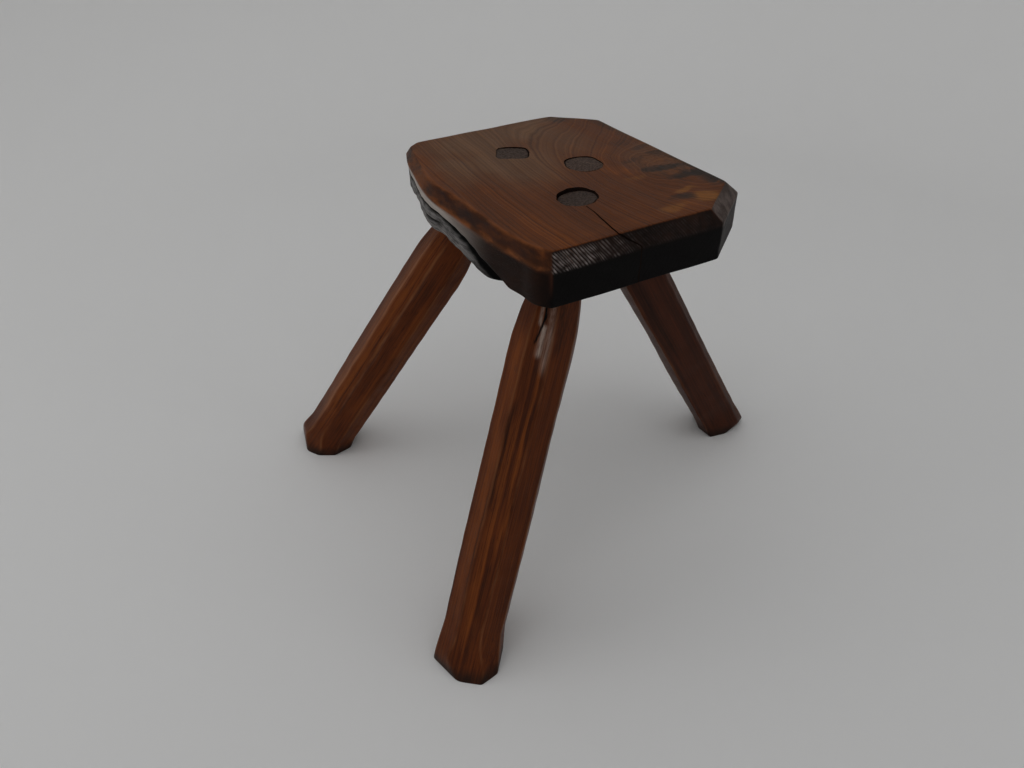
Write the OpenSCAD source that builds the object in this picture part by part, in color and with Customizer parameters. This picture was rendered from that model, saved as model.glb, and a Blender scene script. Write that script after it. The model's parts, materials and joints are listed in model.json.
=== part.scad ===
// Rustic three-leg stool: a bevelled plank seat staked on three hewn, splayed legs.
// Each leg ends in a round tenon that runs right through the seat, level with its top.
// +Z is up, the floor is z = 0, and the grain of the seat runs along Y.

/* [Seat] */
// Height of the seat's top above the floor
seat_h = 330; // [280:5:400]
// Thickness of the seat plank
seat_t = 36; // [30:1:42]
// Width of the plank across the grain, with its bulging natural edge
seat_w = 210; // [190:1:240]
// Depth of the plank along the grain
seat_d = 256; // [230:1:290]
// Radius of the natural left edge, seen from above
edge_r = 368; // [300:4:600]
// Where that edge bulges most, along the grain from the plank's middle
edge_peak = -6; // [-20:1:20]
// Number of flat strips hewn along the natural edge
edge_strips = 9; // [6:1:16]
// Number of those strips that are undercut, counted from the back
wane_strips = 6; // [2:1:6]
// How far the natural edge is undercut at the back of the plank's underside
wane_depth = 5; // [2:0.5:8]
// Height of the undercut there
wane_height = 14; // [8:1:18]
// Width and height of the bevel round the top
bevel = 9; // [5:1:12]
// Length and depth of the clipped front right corner
front_clip = [49, 38]; // [20:1:60]
// Length and depth of the clipped back right corner
back_clip = [33, 33]; // [15:1:50]
// Length and depth of the small clip at the back left corner
left_clip = [12, 8]; // [4:1:20]
// Where the middle of the plank lies over the floor
seat_at = [-12, -14]; // [-20:1:20]

/* [Joints] */
// Diameter of the round tenons
tenon_d = 28.5; // [25:0.5:34]
// Gap between a tenon and its hole, all round
joint_gap = 0.1; // [0.05:0.05:0.3]
// How far the tenon ends stay below the seat's top
end_recess = 0.5; // [0.3:0.1:1.5]
// Centre of the left tenon at the seat's top
left_top = [-26, 37.5]; // [-60:1:60]
// Centre of the right tenon at the seat's top
right_top = [11, -13.5]; // [-60:1:60]
// Centre of the front tenon at the seat's top
front_top = [-29, -67.5]; // [-60:1:60]

/* [Legs] */
// Centre of the left foot on the floor
left_foot = [-205, 160]; // [-230:1:230]
// Centre of the right foot on the floor
right_foot = [197.5, -32]; // [-230:1:230]
// Centre of the front foot on the floor
front_foot = [-185.5, -163]; // [-230:1:230]
// Width of the left leg across its flats
left_leg_w = 50; // [40:1:56]
// Width of the right leg across its flats
right_leg_w = 45; // [40:1:56]
// Width of the front leg across its flats
front_leg_w = 48; // [40:1:56]
// Turn of the left leg's flats about its own line, in degrees
left_roll = -1; // [-22:1:22]
// Turn of the right leg's flats
right_roll = -5; // [-22:1:22]
// Turn of the front leg's flats
front_roll = 17; // [-22:1:22]
// Distance down the leg from the seat's top to the end of the shoulder
shoulder_run = 115; // [90:1:140]
// How much wider a leg is across its flats at the floor
flare = 5; // [0:1:8]
// Length of the flared foot
flare_run = 30; // [15:1:50]

/* [Trimmed toes] */
// Upright cut that takes the sharp toe off the left foot: direction in degrees, distance out
left_trim = [170, 16]; // [10:1:360]
// The same for the right foot
right_trim = [345, 24]; // [10:1:360]
// The same for the front foot
front_trim = [193, 22]; // [10:1:360]

/* [Drying check] */
// Width of the split at the seat's front edge
check_w = 1.4; // [0.8:0.1:2.5]
// Width of the split where it dies out near the front tenon
check_end_w = 0.4; // [0.2:0.1:0.8]
// Inner end of the split, from the front tenon's centre
check_start = [-4, -22]; // [-30:1:30]
// How far the split wanders sideways on its way to the edge
check_wander = -6; // [-12:1:4]

/* [Hidden] */
eps = 0.01;
round_fn = 96;
hull_fn = 32;
octagon_fn = 8;
reach = 600;
seat_colour = [0.36, 0.19, 0.10];
leg_colour = [0.40, 0.20, 0.10];

// Half sizes of the plank, from its middle.
half_w = seat_w / 2;
half_d = seat_d / 2;
// The natural edge follows a circle, so a point's x on it follows from its y.
function edge_x(y) = edge_r - half_w - sqrt(edge_r * edge_r - (y - edge_peak) * (y - edge_peak));
// Corners of the outline, counter-clockwise: down the natural edge in flat hewn strips,
// then round the straight edges from the front right clip to the back left one
edge_back = half_d - left_clip[1];
edge_points = [
    for (i = [0 : edge_strips])
        let (y = edge_back - i * (edge_back + half_d) / edge_strips) [edge_x(y), y]
];
undercut_points = [
    for (i = [0 : edge_strips])
        edge_points[i] + [wane_depth * max(0, 1 - i / wane_strips), 0]
];
straight_points = [
    [half_w - front_clip[0], -half_d],
    [half_w, front_clip[1] - half_d],
    [half_w, half_d - back_clip[1]],
    [half_w - back_clip[0], half_d],
    [edge_x(half_d) + left_clip[0], half_d],
];
outline = concat(edge_points, straight_points);
// The shoulder starts clear of the underside of the tilted seat hole.
shoulder_start = 56;
foot_margin = 40;
trim_size = 100;

// The plank: its outline, bevelled to an inset one above and undercut to another one below.
module seat_blank() {
    hull() {
        linear_extrude(seat_t)
            offset(delta = -bevel) polygon(outline);
        translate([0, 0, wane_height])
            linear_extrude(seat_t - bevel - wane_height) polygon(outline);
        linear_extrude(wane_height) polygon(concat(undercut_points, straight_points));
    }
}

// A split in the plank from the front tenon to the front edge, open above and below.
module drying_check() {
    edge_y = seat_at[1] - half_d - 1;
    inner = front_top + check_start;
    outer = [inner[0] + check_wander, edge_y];
    translate([0, 0, seat_h - seat_t - 1])
        linear_extrude(seat_t + 2)
            polygon([
                inner - [check_end_w / 2, 0],
                outer - [check_w / 2, 0],
                outer + [check_w / 2, 0],
                inner + [check_end_w / 2, 0],
            ]);
}

// Puts its children on a leg's line: their origin on the seat's top, -Z down the leg.
module on_leg(top, foot) {
    run = foot - top;
    translate([top[0], top[1], seat_h])
        rotate([0, -atan2(norm(run), seat_h), atan2(run[1], run[0])])
            children();
}

function leg_length(top, foot) = norm([foot[0] - top[0], foot[1] - top[1], seat_h]);

// The hole for a tenon, along the leg's own line.
module tenon_hole(top, foot) {
    on_leg(top, foot)
        translate([0, 0, -2 * seat_t])
            cylinder(d = tenon_d + 2 * joint_gap, h = 3 * seat_t, $fn = round_fn);
}

// A thin octagon across the leg, a given distance down it.
module leg_section(distance, width, roll) {
    translate([0, 0, -distance])
        rotate([0, 0, roll + 180 / octagon_fn])
            cylinder(d = width / cos(180 / octagon_fn), h = eps, $fn = octagon_fn);
}

// One leg before trimming: round tenon, tapered shoulder, eight-sided shaft and flared foot.
module leg_blank(length, width, roll) {
    ankle = length - flare_run;
    below = length + foot_margin;
    translate([0, 0, -shoulder_start - eps])
        cylinder(d = tenon_d, h = shoulder_start + tenon_d, $fn = round_fn);
    hull() {
        translate([0, 0, -shoulder_start]) cylinder(d = tenon_d, h = eps, $fn = hull_fn);
        leg_section(shoulder_run, width, roll);
    }
    hull() {
        leg_section(shoulder_run, width, roll);
        leg_section(ankle, width, roll);
    }
    hull() {
        leg_section(ankle, width, roll);
        leg_section(below, width + flare * (below - ankle) / flare_run, roll);
    }
}

// One finished leg: sawn off at the floor and the seat's top, with its toe trimmed upright.
module leg(top, foot, width, roll, trim) {
    difference() {
        intersection() {
            on_leg(top, foot) leg_blank(leg_length(top, foot), width, roll);
            translate([-reach / 2, -reach / 2, 0]) cube([reach, reach, seat_h - end_recess]);
        }
        translate([foot[0], foot[1], -eps])
            rotate([0, 0, trim[0]])
                translate([trim[1], -trim_size / 2, 0])
                    cube([trim_size, trim_size, trim_size]);
    }
}

module seat() {
    color(seat_colour)
        difference() {
            translate([seat_at[0], seat_at[1], seat_h - seat_t]) seat_blank();
            tenon_hole(left_top, left_foot);
            tenon_hole(right_top, right_foot);
            tenon_hole(front_top, front_foot);
            drying_check();
        }
}

module leg_left() {
    color(leg_colour) leg(left_top, left_foot, left_leg_w, left_roll, left_trim);
}

module leg_right() {
    color(leg_colour) leg(right_top, right_foot, right_leg_w, right_roll, right_trim);
}

module leg_front() {
    color(leg_colour) leg(front_top, front_foot, front_leg_w, front_roll, front_trim);
}

seat();
leg_left();
leg_right();
leg_front();
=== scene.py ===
"""Looks of a rustic three-leg stool: a waney-edged plank staked on three hewn legs.

Lengths are in millimetres in the model's own frame, and MM turns them into metres.
"""

import json
import math

import bpy
import numpy as np
from mathutils import Matrix, Vector


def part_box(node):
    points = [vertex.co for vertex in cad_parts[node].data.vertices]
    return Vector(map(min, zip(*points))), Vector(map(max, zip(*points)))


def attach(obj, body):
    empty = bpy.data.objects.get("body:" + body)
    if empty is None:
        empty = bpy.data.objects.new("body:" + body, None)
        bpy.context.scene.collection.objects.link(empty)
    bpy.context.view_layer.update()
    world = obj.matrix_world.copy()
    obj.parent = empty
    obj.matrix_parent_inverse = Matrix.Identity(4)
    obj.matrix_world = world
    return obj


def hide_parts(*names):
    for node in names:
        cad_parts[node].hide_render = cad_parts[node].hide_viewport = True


MM = 0.001
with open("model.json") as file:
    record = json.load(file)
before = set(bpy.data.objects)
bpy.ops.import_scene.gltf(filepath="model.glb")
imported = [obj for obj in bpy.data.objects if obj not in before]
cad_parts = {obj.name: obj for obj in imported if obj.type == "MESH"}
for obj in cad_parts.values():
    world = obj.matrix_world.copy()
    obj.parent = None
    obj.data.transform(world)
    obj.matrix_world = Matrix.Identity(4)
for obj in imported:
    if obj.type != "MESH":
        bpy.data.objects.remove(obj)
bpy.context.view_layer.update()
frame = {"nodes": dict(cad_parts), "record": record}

# Camera: a little higher than the seat, over the front left, looking down at it.
CAMERA_AT = (-319.5, -504.5, 550)
CAMERA_HEADING = 28
CAMERA_PITCH = 36.76
CAMERA_ROLL = 1.3
CAMERA_LENS = 26.37
SENSOR_WIDTH = 36

# Seat: widths and depths, the height of the bevel's foot, and rings per part of the profile.
BEVEL = 9
BEVEL_FOOT = 321
RIM_WIDTH = 6
RIDGE_PITCH = 2.3
RIDGE_DEPTH = 0.8
ROUNDING_PASSES = 3
CAP_RINGS = 22
TOP_RIM_RINGS = 8
BEVEL_RINGS = 22
SIDE_RINGS = 56
BOTTOM_RIM_RINGS = 10
# Points along the natural edge, and then along each straight edge.
EDGE_COUNTS = [210, 210, 50, 100, 34, 90, 14]
# How far the plank's relief may stand outside its box, and on the natural edge.
RELIEF_MARGIN = 1.4
NATURAL_MARGIN = 1
# Height of the fissure along the natural edge: distance along the grain, and height.
FISSURE = [
    (-112, 288), (-95, 294), (-75, 300), (-34, 308), (0, 311), (44, 310), (75, 309), (96, 307),
]
# The drying split, from the front tenon out past the front edge: x, y and width.
SPLIT = [
    (-32.6, -84, 0.6), (-33.4, -96, 0.9), (-35, -105, 1.1), (-36, -112, 1.2), (-38, -124, 1.3),
    (-39, -133, 1.3), (-32, -138, 1.0), (-25, -142.5, 0.6), (-25, -150, 0.6),
]
CUT_MARGIN = 5
# Legs: rings of points, how level a tenon's end is, and the tenons' wander.
COLUMNS = 160
STATIONS = 280
CAP_STEPS = 10
SOLE_PASSES = 6
END_LEVEL = 0.05
TENON_WANDER = 0.4
# Where a tenon hole's cutter starts and stops, down the leg from the seat's top.
HOLE_RUN = (-25.0, 80.0)
# Edges that turn by more degrees than this are shaded sharp.
SHARP_ANGLE = 38
# Height of the grain's relief, in metres.
GRAIN_RELIEF = 0.0004


def camera():
    """The camera, turned by its heading, pitch and roll."""
    heading, pitch, roll = (
        math.radians(angle) for angle in (CAMERA_HEADING, CAMERA_PITCH, CAMERA_ROLL)
    )
    data = bpy.data.cameras.new("camera")
    data.lens = CAMERA_LENS
    data.sensor_width = SENSOR_WIDTH
    data.clip_start = 0.01
    data.clip_end = 50
    holder = bpy.data.objects.new("camera", data)
    turn = (
        Matrix.Rotation(-heading, 4, "Z")
        @ Matrix.Rotation(math.pi / 2 - pitch, 4, "X")
        @ Matrix.Rotation(-roll, 4, "Z")
    )
    holder.matrix_world = Matrix.Translation(Vector(CAMERA_AT) * MM) @ turn
    bpy.context.scene.collection.objects.link(holder)
    bpy.context.scene.camera = holder


# ---------------------------------------- shapes


def smooth_step(low, high, value):
    """0 below low, 1 above high, and a smooth rise between them."""
    t = np.clip((value - low) / (high - low), 0, 1)
    return t * t * (3 - 2 * t)


def ripple(points, wavelengths, seed, waves=14):
    """Smooth random relief, mostly between -1 and 1, with bumps about a wavelength long."""
    random = np.random.default_rng(seed)
    scaled = np.asarray(points) / np.asarray(wavelengths, float)
    directions = random.normal(size=(waves, scaled.shape[-1]))
    directions /= np.linalg.norm(directions, axis=1, keepdims=True)
    directions *= random.uniform(0.6, 1.5, (waves, 1)) * 2 * np.pi
    phases = random.uniform(0, 2 * np.pi, waves)
    return np.sin(scaled @ directions.T + phases).sum(-1) / math.sqrt(waves)


def smooth_curve(knots, at):
    """A smooth curve through (position, value) knots, read at the given positions."""
    position, value = np.array(sorted(knots), float).T
    slope = np.gradient(value, position)
    i = np.clip(np.searchsorted(position, at) - 1, 0, len(position) - 2)
    width = position[i + 1] - position[i]
    t = np.clip((at - position[i]) / width, 0, 1)
    rise = value[i + 1] - value[i]
    eased = t * t * (3 - 2 * t)
    start_bend = slope[i] * width * t * (1 - t) ** 2
    end_bend = slope[i + 1] * width * t * t * (1 - t)
    return value[i] + rise * eased + start_bend - end_bend


def between(start, end, count):
    """Rings from one ring towards another, without the last."""
    steps = np.arange(count)[:, None, None] / count
    return start + (end - start) * steps


def soften(rings, passes):
    """Rounds the corners that a stack of rings makes from one ring to the next."""
    for _ in range(passes):
        rings[1:-1] = (rings[:-2] + 2 * rings[1:-1] + rings[2:]) / 4
    return rings


def outward(rings):
    """The direction straight out of the surface that the rings make."""
    along = np.roll(rings, -1, axis=1) - np.roll(rings, 1, axis=1)
    down = np.gradient(rings, axis=0)
    normal = np.cross(down, along)
    return normal / np.maximum(np.linalg.norm(normal, axis=-1, keepdims=True), 1e-9)


def neighbours(rings):
    """The number of each ring point, and of the next one round its ring."""
    corners = np.arange(rings.shape[0] * rings.shape[1]).reshape(rings.shape[:2])
    return corners, np.roll(corners, -1, axis=1)


def closed_mesh(name, rings, first_end, last_end, layers=None):
    """A closed mesh object through the rings, with a fan to a point at each end.

    layers are numbers per ring point, kept as attributes for the materials.
    """
    corners, following = neighbours(rings)
    quads = np.stack([corners[:-1], corners[1:], following[1:], following[:-1]], -1)
    head, tail = corners.size, corners.size + 1
    head_fan = [(head, a, b) for a, b in zip(corners[0], following[0])]
    tail_fan = [(tail, b, a) for a, b in zip(corners[-1], following[-1])]
    points = np.concatenate([rings.reshape(-1, 3), [first_end, last_end]]) * MM
    mesh = bpy.data.meshes.new(name)
    mesh.from_pydata(
        [tuple(p) for p in points],
        [],
        [tuple(map(int, q)) for q in quads.reshape(-1, 4)]
        + [tuple(map(int, f)) for f in head_fan + tail_fan],
    )
    for layer, values in (layers or {}).items():
        size = values.shape[2] if values.ndim == 3 else 1
        flat = values.reshape(-1, size)
        flat = np.concatenate([flat, flat[:1], flat[-1:]])
        kind, field = ("FLOAT_VECTOR", "vector") if size == 3 else ("FLOAT", "value")
        attribute = mesh.attributes.new(layer, kind, "POINT")
        attribute.data.foreach_set(field, flat.astype(np.float32).ravel())
    mesh.validate()
    piece = bpy.data.objects.new(name, mesh)
    bpy.context.scene.collection.objects.link(piece)
    return piece


# ---------------------------------------- legs


class LegLine:
    """A leg's centre line from its tenon's end to the middle of its sole, read from the CAD."""

    def __init__(self, node, mount):
        vertices = frame["nodes"][node].data.vertices
        points = np.array([v.co for v in vertices], float) / MM
        end = points[points[:, 2] > points[:, 2].max() - END_LEVEL]
        mounts = {m["name"]: m for m in frame["record"]["mounts"]}
        self.top = (end.min(0) + end.max(0)) / 2
        self.foot = np.array(mounts[mount]["pos_m"], float) / MM
        run = self.foot - self.top
        self.down = run / np.linalg.norm(run)
        self.splay = math.acos(-self.down[2])
        heading = run[:2] / np.linalg.norm(run[:2])
        self.side = np.array([-heading[1], heading[0], 0])
        self.outer = np.cross(self.side, -self.down)

    def at(self, distance, angle, radius):
        """Points at a distance down the leg and a radius out from its line."""
        across = np.cos(angle)[..., None] * self.outer + np.sin(angle)[..., None] * self.side
        return self.top + distance[..., None] * self.down + radius[..., None] * across

    def reach(self, height, angle, radius):
        """How far down the leg a point at that angle and radius has the given height."""
        rise = radius * np.cos(angle) * math.sin(self.splay)
        return (self.top[2] - height + rise) / math.cos(self.splay)


def unevenness(angle, seed):
    """A hand-cut outline's wander round a full turn, mostly between -1 and 1."""
    phases = np.random.default_rng(seed).uniform(0, 2 * np.pi, 4)
    waves = [np.sin(k * angle + phase) for k, phase in zip((3, 5, 9, 14), phases)]
    return (waves[0] + waves[1] + 0.6 * waves[2] + 0.5 * waves[3]) / 2


def tenon_radius(leg, angle):
    """Radius of a leg's tenon, which is round or nearly square with rounded corners."""
    along, across, power = leg["tenon"]
    turned = angle - math.radians(leg["tenon_turn"])
    total = np.abs(np.cos(turned) / along) ** power + np.abs(np.sin(turned) / across) ** power
    return total ** (-1 / power) + TENON_WANDER * unevenness(angle, leg["seed"])


def facet_radius(leg, angle, distance):
    """Radius of the hewn shaft, and how near each point is to an arris.

    Each face is its direction from the leg's outer side, its distance from the middle line,
    and how much further out it stands at the foot.
    """
    power = leg["crispness"]
    foot = smooth_step(leg["length"] - leg["flare_run"], leg["length"] + 10, distance)
    total = np.zeros_like(angle)
    sides = []
    for k, (turn, reach, flare) in enumerate(leg["faces"]):
        wander = ripple(distance[..., None], [leg["wander_run"]], leg["seed"] + k)
        bow = ripple(distance[..., None], [leg["wander_run"] * 1.4], leg["seed"] + 20 + k)
        scallop = ripple(distance[..., None], [26], leg["seed"] + 40 + k)
        normal = math.radians(turn) + 0.012 * wander
        depth = reach + flare * foot + 0.22 * bow + 0.10 * scallop
        side = np.maximum(np.cos(angle - normal), 0) / depth
        sides.append(side)
        total += side**power
    ranked = np.sort(np.array(sides), axis=0)
    arris = smooth_step(0.955, 1.0, ranked[-2] / ranked[-1])
    return total ** (-1 / power), arris


def leg_radius(leg, angle, distance):
    """Radius all down the leg: tenon, tapered shoulder and shaft, and its arris wear."""
    shaft, arris = facet_radius(leg, angle, distance)
    high_turn, high_by = leg["high_shoulder"]
    early = high_by * np.maximum(np.cos(angle - math.radians(high_turn)), 0)
    blend = np.clip((distance - leg["shoulder_start"] + early) / leg["shoulder_run"], 0, 1)
    blend = 1 - (1 - blend) ** leg["shoulder_ease"]
    radius = tenon_radius(leg, angle) * (1 - blend) + shaft * blend
    return radius, arris * smooth_step(0.3, 1, blend)


def trimmed(points, foot, direction, distance, lean):
    """Takes the edge off a foot along a steep face. lean is how far out it goes per height."""
    heading = np.array([math.cos(math.radians(direction)), math.sin(math.radians(direction)), 0])
    beyond = (points - foot) @ heading - distance - lean * points[..., 2]
    softness = 1.1
    excess = softness * np.logaddexp(0, beyond / softness)
    return points - excess[..., None] * heading


def leg_stations(line, leg):
    """Angles round the leg and distances down it, from the tenon's end to the level sole."""
    angle = np.tile(np.linspace(0, 2 * np.pi, COLUMNS, endpoint=False), (STATIONS, 1))
    recess = leg["recess"] * (1 - np.cos(angle[0] - math.radians(leg["recess_turn"]))) / 2
    start = line.reach(line.top[2], angle[0], tenon_radius(leg, angle[0])) + recess
    end = np.full(COLUMNS, leg["length"])
    for _ in range(SOLE_PASSES):
        end = line.reach(0, angle[0], leg_radius(leg, angle[0], end)[0])
    steps = np.linspace(0, 1, STATIONS)[:, None]
    return angle, start + (end - start) * steps


def leg_piece(name, leg, material):
    """One whole leg: tenon, shoulder, hewn faces and a flared, blunted foot."""
    line = LegLine(name, leg["mount"])
    leg["length"] = np.linalg.norm(line.foot - line.top)
    angle, distance = leg_stations(line, leg)
    radius, arris = leg_radius(leg, angle, distance)
    rings = line.at(distance, angle, radius)
    for direction, reach, lean in leg["trims"]:
        rings = trimmed(rings, line.foot, direction, reach, lean)
    head = rings[0].mean(0)
    tail = np.array([*rings[-1].mean(0)[:2], 0])
    inward = np.array([0.985, 0.97, 0.94, *np.linspace(0.88, 0.06, CAP_STEPS)])[:, None, None]
    head_rings = head + (rings[0] - head) * inward[::-1]
    tail_rings = tail + (rings[-1] - tail) * inward
    caps = len(inward)
    rings = soften(np.concatenate([head_rings, rings, tail_rings]), 2)
    along = np.pad(distance, ((caps, caps), (0, 0)), mode="edge")
    tenon_end = np.zeros_like(along)
    tenon_end[: caps + 1] = 1
    offset = rings - line.top
    layers = {
        "grain": np.stack([offset @ line.outer, offset @ line.side, along], -1),
        "wear": np.pad(arris, ((caps, caps), (0, 0))),
        "sole": smooth_step(14, 2, rings[..., 2]),
        "tenon_end": tenon_end,
    }
    rings = leg_marks(leg, rings, layers)
    piece = closed_mesh(name + "_hewn", rings, head, tail, layers)
    piece.data.materials.append(material)
    finish_piece(piece, name)


def streaks(leg, grain, kind):
    """Where a leg's long marks of one kind lie, from 0 to their strength.

    Each mark is its start and end down the leg, its direction from the outer side at each,
    its width and its strength.
    """
    angle = np.arctan2(grain[..., 1], grain[..., 0])
    mask = np.zeros(angle.shape)
    for begin, finish, start_angle, end_angle, width, strength in leg[kind]:
        t = (grain[..., 2] - begin) / (finish - begin)
        middle = math.radians(start_angle) + math.radians(end_angle - start_angle) * t
        middle = middle + 0.02 * np.sin(grain[..., 2] / 7.3) + 0.02 * np.sin(grain[..., 2] / 17.0)
        off = (angle - middle + np.pi) % (2 * np.pi) - np.pi
        apart = off * np.hypot(grain[..., 0], grain[..., 1])
        fade = smooth_step(0, 0.12, t) * smooth_step(1, 0.8, t)
        mask += strength * fade * np.exp(-((apart / width) ** 2))
    return mask


def leg_marks(leg, rings, layers):
    """Adds a leg's marks to its layers, cuts its checks and roughens its tenon's end."""
    depth = streaks(leg, layers["grain"], "checks")
    layers["check"] = np.clip(depth, 0, 1.2)
    for kind in ("stains", "glows", "painted_highlights"):
        layers[kind] = np.clip(streaks(leg, layers["grain"], kind), 0, 1)
    rough = ripple(rings, [3.2, 3.2, 3.2], leg["seed"] + 90) * layers["tenon_end"] * 0.12
    return rings - outward(rings) * (depth + rough)[..., None]


# ---------------------------------------- seat


def level_outline(natural, corners, height):
    """One level of the plank: its natural left edge, then straight edges between corners."""
    y = np.linspace(natural[0][0], natural[-1][0], EDGE_COUNTS[0], endpoint=False)
    parts = [np.stack([smooth_curve(natural, y), y], -1)]
    ends = [(natural[-1][1], natural[-1][0]), *corners, (natural[0][1], natural[0][0])]
    for start, end, count in zip(ends[:-1], ends[1:], EDGE_COUNTS[1:]):
        steps = np.arange(count)[:, None] / count
        parts.append(np.array(start) + (np.array(end) - np.array(start)) * steps)
    ring = np.concatenate(parts)
    for _ in range(ROUNDING_PASSES):
        ring = (np.roll(ring, 1, 0) + 2 * ring + np.roll(ring, -1, 0)) / 4
    return np.column_stack([ring, np.full(len(ring), height)])


def pulled_in(ring, centre, distance):
    """The ring moved a distance towards a centre."""
    away = centre - ring
    return ring + away / np.linalg.norm(away, axis=1, keepdims=True) * distance


def bevel_marks(rings, column, corner_at, natural, run, inner_at, outer_at):
    """Worn arrises, a painted highlight down the front left corner's upright edge, and the dark
    dashes down the left bevel.
    """
    y, z = rings[..., 1], rings[..., 2]
    past_inner, past_outer = run - run[inner_at], run - run[outer_at]
    across = past_inner / (run[outer_at] - run[inner_at])
    rim = 0.8 * np.exp(-((past_inner / 1.5) ** 2)) + np.exp(-((past_outer / 1.7) ** 2))
    rim = rim * natural * (0.25 + 0.75 * smooth_step(66, 20, y))
    # Painted highlight down the upright edge of the front left corner, fading out low down.
    corner = np.exp(-(((column - corner_at) / 1.3) ** 2))
    corner = corner * smooth_step(BEVEL_FOOT + 1, BEVEL_FOOT - 2, z) * smooth_step(296, 317, z)
    wavy = across + 0.10 * ripple(y[..., None], [34], 11)
    band = smooth_step(0.08, 0.36, wavy) * smooth_step(0.98, 0.66, wavy)
    dashes = 0.62 + 0.38 * smooth_step(-0.8, 0.6, ripple(y[..., None], [46], 12))
    dash = natural * band * dashes * smooth_step(34, 14, y) * smooth_step(-136, -110, y)
    return across, {"rim": rim, "corner": corner, "dash": dash}


def end_grain_ridges(rings, column, corner_at, across):
    """Ridges across the front's end grain, strongest at the natural edge.

    Gives their relief, and the painted highlight on each crest.
    """
    x, y, z = np.moveaxis(rings, -1, 0)
    slanted = x + 0.70 * (z - BEVEL_FOOT)
    phase = slanted / RIDGE_PITCH + 0.22 * ripple(slanted[..., None], [30], 5)
    phase = phase + 0.12 * ripple(rings, [9, 30, 30], 15)
    ridge = (0.5 + 0.5 * np.sin(2 * np.pi * phase)) ** 1.5
    at_front = smooth_step(corner_at - 1, corner_at + 3, column) * smooth_step(-132, -134, y)
    at_front = at_front * smooth_step(50, 20, x)
    uneven = 0.75 + 0.3 * ripple(slanted[..., None], [9], 14)
    strength = 0.06 + 0.30 * smooth_step(-25, -50, x) + 0.64 * smooth_step(-54, -76, x)
    ridges = at_front * strength * np.clip(uneven, 0.3, 1)
    on_bevel = smooth_step(BEVEL_FOOT - 3.5, BEVEL_FOOT - 0.5, z)
    on_bevel = on_bevel * smooth_step(0.05, 0.25, across)
    # Painted highlight: the ridges' crests are painted pale, most near the natural edge.
    crest_highlight = ridge * ridges * on_bevel * (0.70 + 0.40 * ripple(rings, [7, 7, 4], 13))
    return RIDGE_DEPTH * (ridge - 0.5) * ridges * (0.12 + 0.88 * on_bevel), crest_highlight


def bark_relief(rings):
    """The natural edge: a deep fissure, the lumpy bark below it and the worn wood above, with
    painted shade in the grooves and over the bark towards the front, and a painted sheen on the
    worn wood.
    """
    x, y, z = np.moveaxis(rings, -1, 0)
    on_edge = smooth_step(-88, -94, x) * smooth_step(100, 92, y)
    on_edge = on_edge * smooth_step(BEVEL_FOOT, BEVEL_FOOT - 3, z)
    below = smooth_curve(FISSURE, y) + 0.4 * ripple(y[..., None], [17], 6) - z
    opening = smooth_step(-112, -92, y) * (0.6 + 0.4 * smooth_step(60, 10, y))
    wide = 0.95 + 1.5 * smooth_step(10, -50, y) * smooth_step(-110, -84, y)
    groove = np.exp(-((below / wide) ** 2)) * opening * on_edge
    # A second groove along the bark's lower edge, painted dark as the shadow there.
    second = np.exp(-(((below - 9 - 1.5 * np.sin(y / 13)) / 1.1) ** 2))
    second = second * smooth_step(-40, -5, y) * smooth_step(75, 50, y)
    second = second * on_edge * smooth_step(285, 296, z)
    bark = smooth_step(0.4, 1.6, below) * on_edge * smooth_step(-112, -98, y)
    lumps = 0.26 * ripple(rings, [30, 34, 7], 7) + 0.16 * ripple(rings, [9, 14, 3.4], 8)
    # Painted shade: near black in the fissure and the second groove, and over the bark towards the
    # front.
    dark = groove * 1.5 + 0.85 * second + 0.6 * bark * smooth_step(-40, -75, y)
    # The worn band above the fissure: worn wood, painted pale grey partly as a painted sheen.
    worn = on_edge * smooth_step(0.2, -1.5, below) * smooth_step(-88, 5, y)
    depth = bark * (0.5 + lumps) - 3.4 * groove - 1.4 * second
    return depth, {"bark": bark, "dark": dark, "worn": worn}


def seat_relief(rings, inner_at, outer_at, corner_at):
    """How far each point of the plank stands out or in, with what the materials need."""
    steps = np.linalg.norm(np.diff(rings, axis=0), axis=-1)
    run = np.concatenate([np.zeros((1, rings.shape[1])), np.cumsum(steps, axis=0)])
    column = np.arange(rings.shape[1])
    natural = smooth_step(-2, 3, column) * smooth_step(corner_at + 1, corner_at - 3, column)
    across, layers = bevel_marks(rings, column, corner_at, natural, run, inner_at, outer_at)
    ridges, layers["ridge"] = end_grain_ridges(rings, column, corner_at, across)
    bark, bark_layers = bark_relief(rings)
    layers.update(bark_layers)
    depth = 0.22 * ripple(rings, [70, 90, 30], 3) + 0.07 * ripple(rings, [22, 60, 14], 4)
    return depth + ridges + bark, {name: np.clip(layer, 0, 1) for name, layer in layers.items()}


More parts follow.
